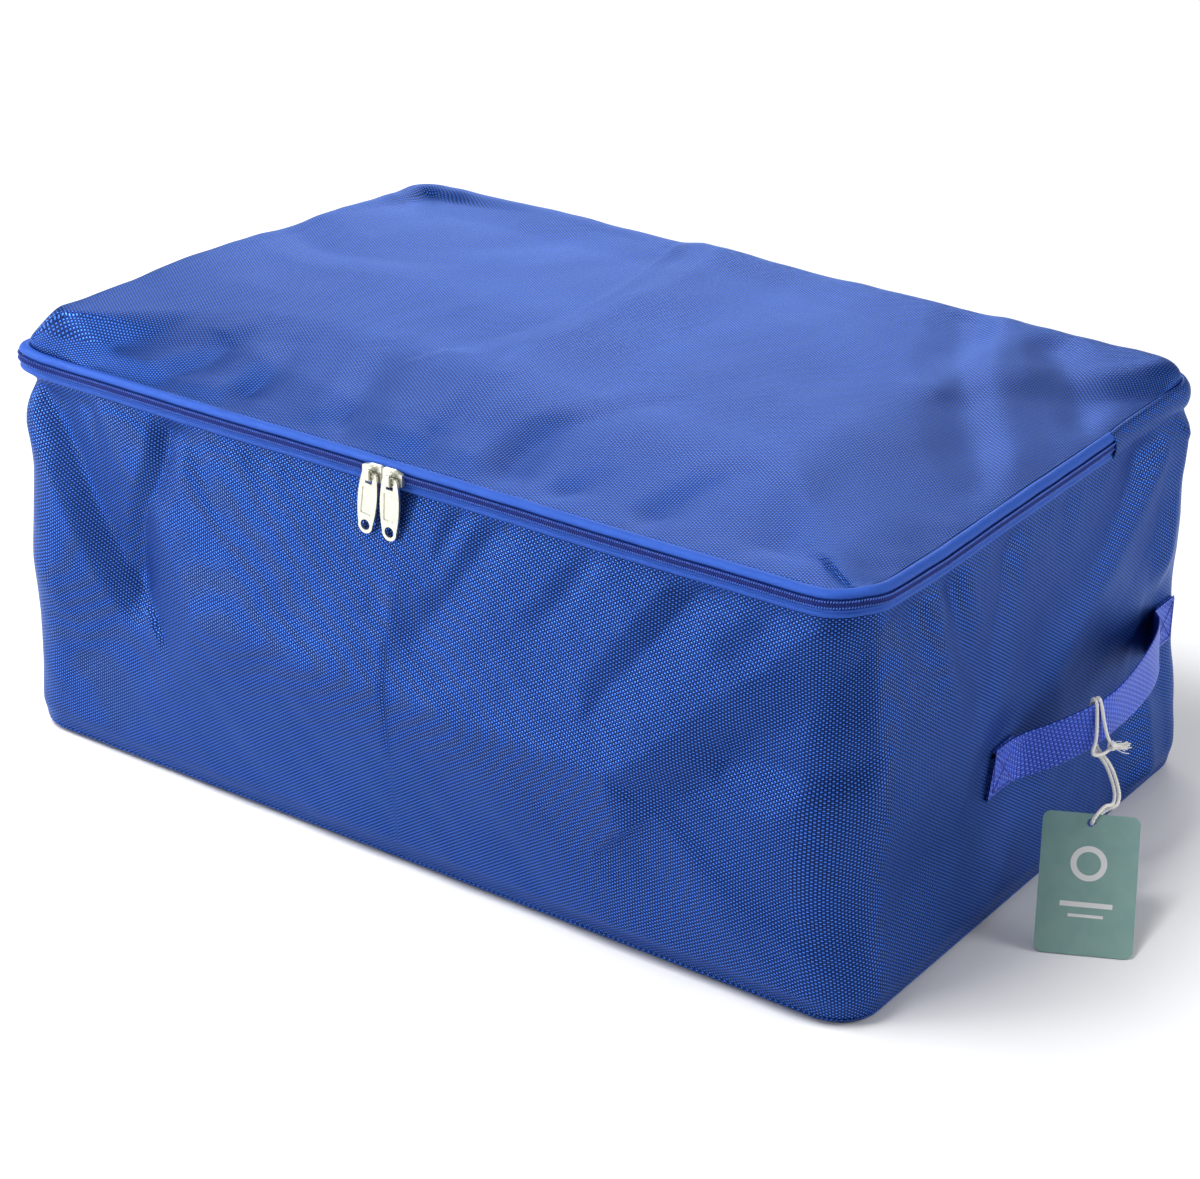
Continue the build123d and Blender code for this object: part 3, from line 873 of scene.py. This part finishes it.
def bottom_panel():
    """The bottom: flat on the floor, its edge turned up to the seam."""
    seam_inset = BASE_R - math.sqrt(BASE_R**2 - (BASE_R - SEAM_Z) ** 2)
    x, y, uv = rounded_panel(seam_inset + SEAM_GAP)
    inset = np.clip(inset_of(x, y), 0, BASE_R)
    z = BASE_R - np.sqrt(np.clip(BASE_R**2 - (BASE_R - inset) ** 2, 0, None))
    lift = (BOTTOM_WAVE.height + ripples(x / MM, y / MM, BOTTOM_WAVE)) * MM
    z += np.clip(lift * smoothstep(*BOTTOM_WAVE_INSET, inset_of(x, y)), 0, None)
    points = np.stack([x, y, z], axis=-1)[::-1]
    piece = cloth_object("bottom_cloth", points, uv[::-1], cloth_material, "bag")
    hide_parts("bottom_panel")


# ======== Bands that follow the zip's line ========
BAND_GRID = 2.5 * MM
BAND_END = 16 * MM


def band(name, profile, start, end, material, body, thickness, lift_ends=0.0):
    """A strip along the zip's line. The profile is (outward, up) in millimetres from that line."""
    columns = max(2, round((end - start) / BAND_GRID))
    s = np.linspace(start, end, columns + 1)
    base, outward = outline_arrays(s)
    line_z = ZIP_Z + zip_rise(s)
    profile = np.array(profile, float) * MM
    steps = lengths_along(profile)
    wobble = MM * ripples(s / MM, 0 * s, BAND_WAVE)
    lift = lift_ends * (1 - smoothstep(0, BAND_END, np.minimum(s - start, end - s)))
    points = np.zeros((len(s), len(profile), 3))
    uv = np.zeros((len(s), len(profile), 2))
    for j, (out, up) in enumerate(profile):
        points[:, j] = base + outward * (out + wobble + lift)[:, None]
        points[:, j, 2] = line_z + up
        uv[:, j, 0], uv[:, j, 1] = s, steps[j]
    return cloth_object(name, points, uv, material, body, thickness, levels=1)


LOWER_TAPE = [
    (0.2, -8.2), (1.6, -7.9), (2.2, -7.2), (2.4, -6.2), (2.1, -5.2), (1.5, -4.7),
    (2.1, -4.3), (2.4, -3.6), (2.2, -3.1), (1.5, -2.8), (0.9, -1.4), (0.6, -0.2),
]
UPPER_TAPE = [
    (0.6, 0.2), (0.9, 1.4), (1.2, 2.7), (2.0, 3.0), (2.5, 3.7), (2.3, 4.8), (1.6, 6.0),
    (0.6, 6.9), (-0.8, 7.4), (-2.0, 7.5), (-2.8, 7.0), (-3.2, 6.2),
]
GUSSET = [
    (0.2, -8.2), (1.6, -7.9), (2.6, -6.6), (3.3, -4.4), (3.7, -1.5), (3.4, 1.5), (2.6, 3.8),
    (1.4, 5.6), (0.2, 6.9), (-1.0, 7.4), (-2.0, 7.5), (-2.8, 7.0), (-3.2, 6.2),
]
GUSSET_OVERLAP, GUSSET_LIFT = 2.5 * MM, 0.9 * MM


def zip_bands():
    """Both tapes from one zip end round the front to the other, and the gusset round the back."""
    tape_end = ZIP_END_S
    lower, upper = (
        band(name, profile, -tape_end, tape_end, tape_material, body, TAPE)
        for name, profile, body in (("lower_tape", LOWER_TAPE, "bag"), ("upper_tape", UPPER_TAPE, "lid"))
    )
    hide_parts("zip_tape_lower")
    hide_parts("zip_tape_upper")
    gusset_start = tape_end - GUSSET_OVERLAP
    gusset = band(
        "gusset_cloth", GUSSET, gusset_start, PERIMETER - gusset_start,
        cloth_material, "bag", CLOTH, lift_ends=GUSSET_LIFT,
    )
    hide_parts("back_gusset")


# The binding's section, (outward, up) in millimetres from its foot.
BINDING = [(0.0, 0.4), (0.9, 3.0), (0.7, 6.5), (0.0, 9.0), (-0.9, 6.5), (-0.9, 3.0), (0.0, 0.6)]
BINDING_INSET, BINDING_HEIGHT, BINDING_GRID, BINDING_STEP = 21 * MM, 9 * MM, 5 * MM, 3 * MM


def binding_band():
    """The bound seam allowance that stands up inside, round the bottom."""
    s, base, outward, points, uv = closed_loop(BINDING_GRID, len(BINDING))
    wave = MM * ripples(s / MM, 0 * s, BINDING_WAVE)
    uv[:, :, 1] = np.arange(len(BINDING)) * BINDING_STEP
    for j, (out, up) in enumerate(np.array(BINDING) * MM):
        points[:, j] = base + outward * (out - BINDING_INSET + wave * up / BINDING_HEIGHT)[:, None]
        points[:, j, 2] = CLOTH + up
    piece = grid_object("seam_binding", points, uv, closed=True)
    finish_piece(piece, binding_material, "bag")
    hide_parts("bottom_binding")


# Rows of beads on the zip: their pitch, their place (outward, up) from the zip's line, and a bead's
# three half sizes (ahead, outward, up), in millimetres.
COIL_TURNS = 1.25, (2.1, 0.95), [(0, 0, 1.55), (0.46, 0, 0), (0, 0.95, 0)]
COIL_STITCHES = 1.45, (3.0, 1.75), [(0.3, 0, 0.62), (0.42, 0, 0), (0, 0.4, 0)]
COIL_SHIFT = 0.25


def bead_row(name, direction, shift, pitch, place, halves):
    """A row of beads along the zip; the direction is -1 below the zip's line and 1 above it."""
    count = round(2 * ZIP_END_S / (pitch * MM))
    s = -ZIP_END_S + (np.arange(count) + 0.5 + shift) * 2 * ZIP_END_S / count
    base, outward = outline_arrays(s)
    beads = []
    for point, out, z in zip(base, outward, ZIP_Z + zip_rise(s)):
        centre = point + out * place[0] * MM
        centre[2] = z + direction * place[1] * MM
        axes = np.array([np.cross(UP, out), out, UP]) * MM
        beads.append(bead_arrays(settle(centre), *(np.array(halves) @ axes)))
    return make_object(name, *join_arrays(beads))


def coil(name, direction, body, node):
    """One side of the coil: a row of nylon turns, and a row of stitches that holds them down."""
    piece = bead_row(name, direction, COIL_SHIFT * direction, *COIL_TURNS)
    finish_piece(piece, coil_material, body)
    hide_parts(node)
    stitching = bead_row(name + "_stitching", direction, 0, *COIL_STITCHES)
    finish_piece(stitching, coil_stitch_material, body)


# ======== Sliders and pulls ========
SOFT_EDGES = {"slider_{}": 1.2 * MM, "slider_{}_arch": 0.3 * MM, "pull_{}": 0.22 * MM}
SHARP_ANGLE = math.radians(35)


def metal_parts():
    """The CAD sliders and pulls are right as they are: they get soft edges and plated metal."""
    for side in ("left", "right"):
        for node, softness in SOFT_EDGES.items():
            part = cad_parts[node.format(side)]
            edge = part.modifiers.new("soft_edges", "BEVEL")
            edge.width = softness
            edge.segments = 3
            edge.limit_method = "ANGLE"
            edge.angle_limit = SHARP_ANGLE
            paint(part, nickel_material)


# ======== Webbing handles ========
STRAP_W, STRAP_T = 30 * MM, 1.5 * MM
TUCK_W, TUCK_T = 29.7 * MM, 1.2 * MM
WELD_GAP = 0.01 * MM
# Middle line of the right strap, from the front of its front end to the back of its back end.
STRAP_LINE = [
    (302.0, -43.0, 89.5), (302.1, -36.0, 89.8), (302.2, -28.0, 90.0), (302.6, -20.0, 90.1),
    (304.6, -12.6, 90.4), (309.0, -6.0, 92.2), (316.0, 2.0, 95.0), (324.6, 12.0, 99.8),
    (332.0, 24.0, 104.5), (335.6, 38.0, 107.6), (336.0, 55.0, 109.5), (334.4, 76.0, 110.8),
    (330.5, 100.0, 111.5), (324.0, 122.0, 110.6), (316.0, 140.0, 108.5), (309.6, 149.6, 106.4),
    (305.4, 156.5, 104.2), (303.0, 164.0, 103.0), (302.3, 172.0, 102.6), (302.1, 180.0, 102.5),
    (302.0, 189.0, 102.5),
]
# The layer that is tucked under each end: its middle line's (x, y, z) from the sewn patch's middle.
TUCK_LINE = [(300.9, -13.5, -0.6), (300.9, 0, 0), (300.9, 12.5, 0.4)]
STRAP_TWIST, STRAP_TWIST_TURNS, STRAP_HOLLOW, HOLLOW_LEVEL = 7, 1.1, 0.5 * MM, 0.4
# The strap's first end is cut at a slant. The slant is gone this share along the strap.
CUT_SLANT, CUT_SLANT_SHARE = 4.0 * MM, 0.09
# Round the strap's section: across its outer face, back across its inner one, and where it began.
# The half thickness gets less by the thinning, from a share of the half width outwards.
ACROSS = np.linspace(-1, 1, 17)
SECTION = [(a, 1) for a in ACROSS] + [(a, -1) for a in ACROSS[::-1]] + [(ACROSS[0], 1)]
EDGE_THINNING, EDGE_FROM = 0.55, 0.9


def strap_ribbon(name, line, width, thickness, twist=0.0, hollow=0.0):
    """A flat woven ribbon: rounded edges, a slightly hollow face and a little twist along its way."""
    centre = rounded_line(line, 5) * MM
    steps = lengths_along(centre)
    points = np.zeros((len(steps), len(SECTION), 3))
    uv = np.zeros((len(steps), len(SECTION), 2))
    for i, (point, direction, length) in enumerate(zip(centre, directions(centre), steps)):
        t = length / steps[-1]
        swing = math.sin(math.pi * t)
        up = unit(UP - direction * (UP @ direction))
        lean = math.radians(twist * swing * math.sin(math.tau * t * STRAP_TWIST_TURNS))
        across = around(lean, up, np.cross(direction, up))
        face = np.cross(direction, across)
        slant = CUT_SLANT * max(0.0, 1 - t / CUT_SLANT_SHARE)
        for j, (a, side) in enumerate(SECTION):
            thinned = EDGE_THINNING * max(0.0, abs(a) - EDGE_FROM) / (1 - EDGE_FROM)
            out = hollow * swing * (a * a - HOLLOW_LEVEL) + side * thickness / 2 * (1 - thinned)
            points[i, j] = point + across * a * width / 2 + face * out + direction * slant * a
            uv[i, j] = length, a * width / 2
    piece = grid_object(name, points, uv)
    weld = piece.modifiers.new("close", "WELD")
    weld.merge_threshold = WELD_GAP
    apply_modifiers(piece)
    return piece


def mirrored(piece, name):
    """A copy of a piece on the other side of the box."""
    mesh = piece.data.copy()
    mesh.transform(Matrix.Scale(-1, 4, (1, 0, 0)))
    mesh.flip_normals()
    copy = bpy.data.objects.new(name, mesh)
    bpy.context.scene.collection.objects.link(copy)
    return copy


# Box stitching: half its size along the wall and up, and the thread's place and sizes.
BOX_HALF_Y, BOX_HALF_Z, BOX_X = 11.5, 12.2, 303.0
STITCH_PITCH, STITCH_HALF, STITCH_RADIUS, STITCH_RISE = 2.3 * MM, 1.012 * MM, 0.42 * MM, 0.336 * MM


def box_stitches(name, y, z):
    """A stitched rectangle and its two diagonals round the middle (y, z), in millimetres."""
    box = [(-1, -1), (1, -1), (1, 1), (-1, 1), (-1, -1), (1, 1), (1, -1), (-1, 1)]
    corners = [np.array((BOX_X, y + a * BOX_HALF_Y, z + b * BOX_HALF_Z)) * MM for a, b in box]
    up = np.array((1.0, 0.0, 0.0))
    beads = []
    for start, end in zip(corners, corners[1:]):
        run = end - start
        direction = unit(run)
        halves = direction * STITCH_HALF, np.cross(up, direction) * STITCH_RADIUS, up * STITCH_RISE
        count = max(1, round(np.linalg.norm(run) / STITCH_PITCH))
        for k in range(count):
            beads.append(bead_arrays(start + run * (k + 0.5) / count, *halves))
    return make_object(name, *join_arrays(beads))


def handle_pieces():
    """Both handles: the strap with its sewn ends, the tucked-under end layers and the box stitching."""
    strap = strap_ribbon("strap_right", STRAP_LINE, STRAP_W, STRAP_T, STRAP_TWIST, STRAP_HOLLOW)
    made = [(strap, "handle")]
    for where, (y, z) in PATCHES.items():
        line = [(x, y + ahead, z + up) for x, ahead, up in TUCK_LINE]
        made.append((strap_ribbon(f"strap_tuck_{where}_right", line, TUCK_W, TUCK_T), "tuck"))
        made.append((box_stitches(f"box_stitch_{where}_right", y, z), "stitch"))
    for piece, kind in made:
        twin = mirrored(piece, piece.name.replace("right", "left"))
        for one, side, sign in ((piece, "right", 1), (twin, "left", -1)):
            material = seam_thread_material if kind == "stitch" else webbing_material
            finish_piece(one, material, None if kind == "handle" else "bag")
            if kind == "handle":
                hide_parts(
                    f"handle_{side}", f"handle_{side}_end_front", f"handle_{side}_end_back"
                )
                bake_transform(one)


# ======== Tag and string ========
STRING_D = 2.3 * MM
STRANDS, STRAND_LAY, STRAND_STEP = 3, 5.5 * MM, 0.6 * MM
PLY_SHARE, PLY_SIDES = 0.27, 7
# The string's route, knot to knot: round the strap, down to the card, through its hole and back.
STRING_ROUTE = [
    (339.4, 33.0, 87.2), (338.4, 30.1, 86.0), (337.0, 25.3, 85.4), (334.6, 20.2, 86.8),
    (334.0, 20.2, 89.8), (334.4, 23.5, 94.5), (334.0, 22.8, 107.0), (333.4, 21.3, 121.8),
    (329.1, 22.9, 121.8), (329.5, 23.9, 107.0), (330.4, 26.2, 91.8), (331.9, 27.2, 86.6),
    (339.8, 27.9, 79.5), (345.5, 26.0, 71.6), (350.0, 22.8, 64.6), (352.1, 16.3, 61.0),
    (351.2, 7.3, 65.0), (349.6, -0.8, 61.0), (348.9, -3.5, 57.9), (347.2, -0.1, 54.1),
    (347.2, 3.8, 56.3), (350.6, 11.2, 60.4), (354.2, 17.8, 60.6), (352.2, 24.3, 64.6),
    (347.6, 27.5, 71.7), (342.0, 29.4, 79.5), (333.0, 29.6, 86.6), (331.3, 28.7, 91.8),
    (330.6, 26.9, 107.0), (330.2, 25.7, 121.8), (334.5, 24.1, 121.8), (336.0, 28.1, 105.7),
    (337.6, 31.8, 94.0), (339.2, 33.4, 90.6),
]
KNOT_CENTRE = np.array((0.3398, 0.0342, 0.0888))
FRAY_DIRECTION = unit(np.array((0.33, 0.9, -0.28)))
KNOT_TURNS, KNOT_PITCH, KNOT_RADIUS, KNOT_WAVE, KNOT_TALL = 2.6, 1.35 * MM, 1.75 * MM, 0.3 * MM, 1.15
KNOT_POINTS, KNOT_CORD = 90, 0.95 * STRING_D
HAIRS, HAIR_SIDES, HAIR_RADIUS, HAIR_START = 46, 5, 0.27 * MM, 1.5 * MM
HAIR_LENGTH, HAIR_SPREAD, HAIR_BEND = (8.5, 12.5), 2.6 * MM, 1.3 * MM


def nurbs_points(route):
    """Points along the smooth line of a NURBS spline through a route in millimetres."""
    curve = bpy.data.curves.new("route", "CURVE")
    curve.dimensions = "3D"
    spline = curve.splines.new("NURBS")
    spline.points.add(len(route) - 1)
    for point, place in zip(spline.points, route):
        point.co = (*(MM * k for k in place), 1.0)
    spline.order_u = 3
    spline.use_endpoint_u = True
    spline.resolution_u = 14
    guide = bpy.data.objects.new("route", curve)
    mesh = bpy.data.meshes.new_from_object(guide)
    points = np.array([v.co for v in mesh.vertices])
    bpy.data.objects.remove(guide)
    bpy.data.curves.remove(curve)
    bpy.data.meshes.remove(mesh)
    return points


def even_points(points):
    """The same line with points evenly spaced."""
    steps = lengths_along(points)
    places = np.linspace(0, steps[-1], max(2, round(steps[-1] / STRAND_STEP)) + 1)
    return np.stack([np.interp(places, steps, points[:, k]) for k in range(3)], axis=1)


def twisted_cord(points, diameter):
    """Three plies twisted round a line, as vertices and faces."""
    ply = diameter * PLY_SHARE
    parts = []
    for strand in range(STRANDS):
        line = []
        for (point, a, b), length in zip(path_frames(points), lengths_along(points)):
            turn = math.tau * (length / STRAND_LAY + strand / STRANDS)
            line.append(point + (diameter / 2 - ply) * around(turn, a, b))
        parts.append(tube_arrays(np.array(line), ply, PLY_SIDES))
    return join_arrays(parts)


def knot_arrays():
    """The overhand knot, as turns of cord, and the hairs of the two frayed ends."""
    across = unit(np.cross(FRAY_DIRECTION, UP))
    upward = np.cross(across, FRAY_DIRECTION)
    loop = []
    for turn in np.linspace(0, KNOT_TURNS * math.tau, KNOT_POINTS):
        radius = KNOT_RADIUS + KNOT_WAVE * math.cos(turn * 0.7)
        rise = (turn / math.tau - KNOT_TURNS / 2) * KNOT_PITCH
        turned = around(turn, across, upward * KNOT_TALL)
        loop.append(KNOT_CENTRE + FRAY_DIRECTION * rise + radius * turned)
    parts = [twisted_cord(even_points(np.array(loop)), KNOT_CORD)]
    rng = random.Random(5)

    def sideways():
        return rng.uniform(-1, 1) * across + rng.uniform(-1, 1) * upward

    for _ in range(HAIRS):
        start = KNOT_CENTRE + FRAY_DIRECTION * HAIR_START + sideways() * MM
        spread = sideways() * HAIR_SPREAD
        length = rng.uniform(*HAIR_LENGTH) * MM
        bend = sideways() * HAIR_BEND
        hair = [
            start + FRAY_DIRECTION * length * t + spread * t**1.6 + bend * math.sin(3 * t)
            for t in np.linspace(0, 1, 8)
        ]
        parts.append(tube_arrays(np.array(hair), HAIR_RADIUS, HAIR_SIDES))
    return join_arrays(parts)


def string_pieces():
    """The string, its knot and its frayed ends."""
    line = nurbs_points(STRING_ROUTE)
    even = even_points(line)
    cord = make_object("tag_string", *twisted_cord(even, STRING_D))
    finish_piece(cord, string_material)
    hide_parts("string_hitch", "string_tails")
    knot = make_object("string_knot_ends", *knot_arrays())
    finish_piece(knot, string_material, "right_handle")
    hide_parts("string_knot")
    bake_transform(cord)


# The card's turn about the vertical and its lean, and its print in millimetres from its middle: a
# ring, and two bars (half width, lower edge, upper edge).
TAG_YAW, TAG_TILT = math.radians(26.5), math.radians(45.2)
RING_Y, RING_INNER, RING_OUTER, RING_SIDES = 12, 7.0, 10.5, 48
BARS = [(15, -14, -11), (10, -20, -18.2)]
PRINT_PROUD = 0.05 * MM


def tag_print():
    """A plain generic print on the card's front: a ring and two bars."""
    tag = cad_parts["hang_tag"]
    paint(tag, card_material)
    corners = np.array([v.co for v in tag.data.vertices])
    wide = np.array((math.cos(TAG_YAW), math.sin(TAG_YAW), 0.0))
    normal = around(TAG_TILT, UP, np.array((math.sin(TAG_YAW), -math.cos(TAG_YAW), 0.0)))
    tall = np.cross(normal, wide)
    middle = (corners.min(0) + corners.max(0)) / 2
    face = middle + normal * (((corners - middle) @ normal).max() + PRINT_PROUD)
    places, ring = [], []
    for k in range(RING_SIDES):
        turn = math.tau * k / RING_SIDES
        places += [(r * math.cos(turn), RING_Y + r * math.sin(turn)) for r in (RING_INNER, RING_OUTER)]
        nxt = (k + 1) % RING_SIDES
        ring.append((2 * k, 2 * k + 1, 2 * nxt + 1, 2 * nxt))
    outlines = [(places, ring)]
    for half, low, high in BARS:
        outlines.append(([(-half, low), (half, low), (half, high), (-half, high)], [(0, 1, 2, 3)]))
    parts = [([face + (wide * x + tall * y) * MM for x, y in part], faces) for part, faces in outlines]
    mark = make_object("tag_print", *join_arrays(parts), smooth=False)
    finish_piece(mark, ink_material, "tag")


# ======== Build ========
wall_panel()
lid_panel()
bottom_panel()
zip_bands()
binding_band()
coil("coil_lower", -1, "bag", "zip_coil_lower")
coil("coil_upper", 1, "lid", "zip_coil_upper")
metal_parts()
handle_pieces()
string_pieces()
tag_print()


# ======== Floor, light and camera ========
FLOOR_SIZE = 6.0
# Name, place, what it points at, size and power.
LIGHTS = [
    ("key", (-2.3, -2.6, 0.75), (0, 0, 0.12), (0.9, 0.7), 45),
    ("rake", (-3.0, -0.7, 1.3), (0, 0, 0.12), (0.8, 0.8), 43),
    ("backdrop", (-1.9, 2.9, 1.5), (0, 0, 0.2), (2.0, 1.2), 42),
    ("top", (-0.5, -0.9, 2.4), (-0.3, -0.6, 0.0), (1.2, 1.0), 62),
    ("fill", (2.5, 1.5, 1.2), (0.3, 0, 0.1), (1.4, 1.2), 36),
]
WORLD_STRENGTH = 0.3
CAMERA_TARGET = Vector((0.00738, -0.01409, 0.11295))
CAMERA_AZIMUTH = math.radians(34.79)
CAMERA_ELEVATION = math.radians(24.97)
CAMERA_ROLL = math.radians(1.151)
CAMERA_DISTANCE = 1.90725
CAMERA_LENS, CAMERA_SENSOR = 91.6, 36


def add_floor():
    nodes = Nodes("floor")
    colour = nodes.mix(nodes.noise(14.0), (0.88, 0.88, 0.88, 1), (0.92, 0.92, 0.92, 1))
    material = nodes.finish(Base_Color=colour, Roughness=0.7)
    corners = [(x * FLOOR_SIZE, y * FLOOR_SIZE, 0) for x, y in ((-1, -1), (1, -1), (1, 1), (-1, 1))]
    floor = make_object("floor", corners, [(0, 1, 2, 3)], smooth=False)
    paint(floor, material)


def add_lights():
    for name, place, target, size, power in LIGHTS:
        light = bpy.data.lights.new(name, "AREA")
        light.shape = "RECTANGLE"
        light.size, light.size_y = size
        light.energy = power
        lamp = bpy.data.objects.new(name, light)
        lamp.location = place
        lamp.rotation_mode = "QUATERNION"
        lamp.rotation_quaternion = (Vector(target) - Vector(place)).to_track_quat("-Z", "Y")
        bpy.context.scene.collection.objects.link(lamp)
    world = bpy.data.worlds.new("studio")
    world.use_nodes = True
    background = world.node_tree.nodes["Background"]
    background.inputs["Color"].default_value = (1, 1, 1, 1)
    background.inputs["Strength"].default_value = WORLD_STRENGTH
    bpy.context.scene.world = world
    bpy.context.scene.view_settings.view_transform = "Standard"


def add_camera():
    back = Vector((
        math.sin(CAMERA_AZIMUTH) * math.cos(CAMERA_ELEVATION),
        -math.cos(CAMERA_AZIMUTH) * math.cos(CAMERA_ELEVATION),
        math.sin(CAMERA_ELEVATION),
    ))
    level_right = Vector((0, 0, 1)).cross(back).normalized()
    right = around(CAMERA_ROLL, level_right, back.cross(level_right))
    data = bpy.data.cameras.new("camera")
    data.lens = CAMERA_LENS
    data.sensor_width = CAMERA_SENSOR
    data.sensor_fit = "HORIZONTAL"
    camera = bpy.data.objects.new("camera", data)
    turn = Matrix((right, back.cross(right), back)).transposed().to_4x4()
    camera.matrix_world = Matrix.Translation(CAMERA_TARGET + back * CAMERA_DISTANCE) @ turn
    bpy.context.scene.collection.objects.link(camera)
    bpy.context.scene.camera = camera


add_floor()
add_lights()
add_camera()

bpy.context.view_layer.update()
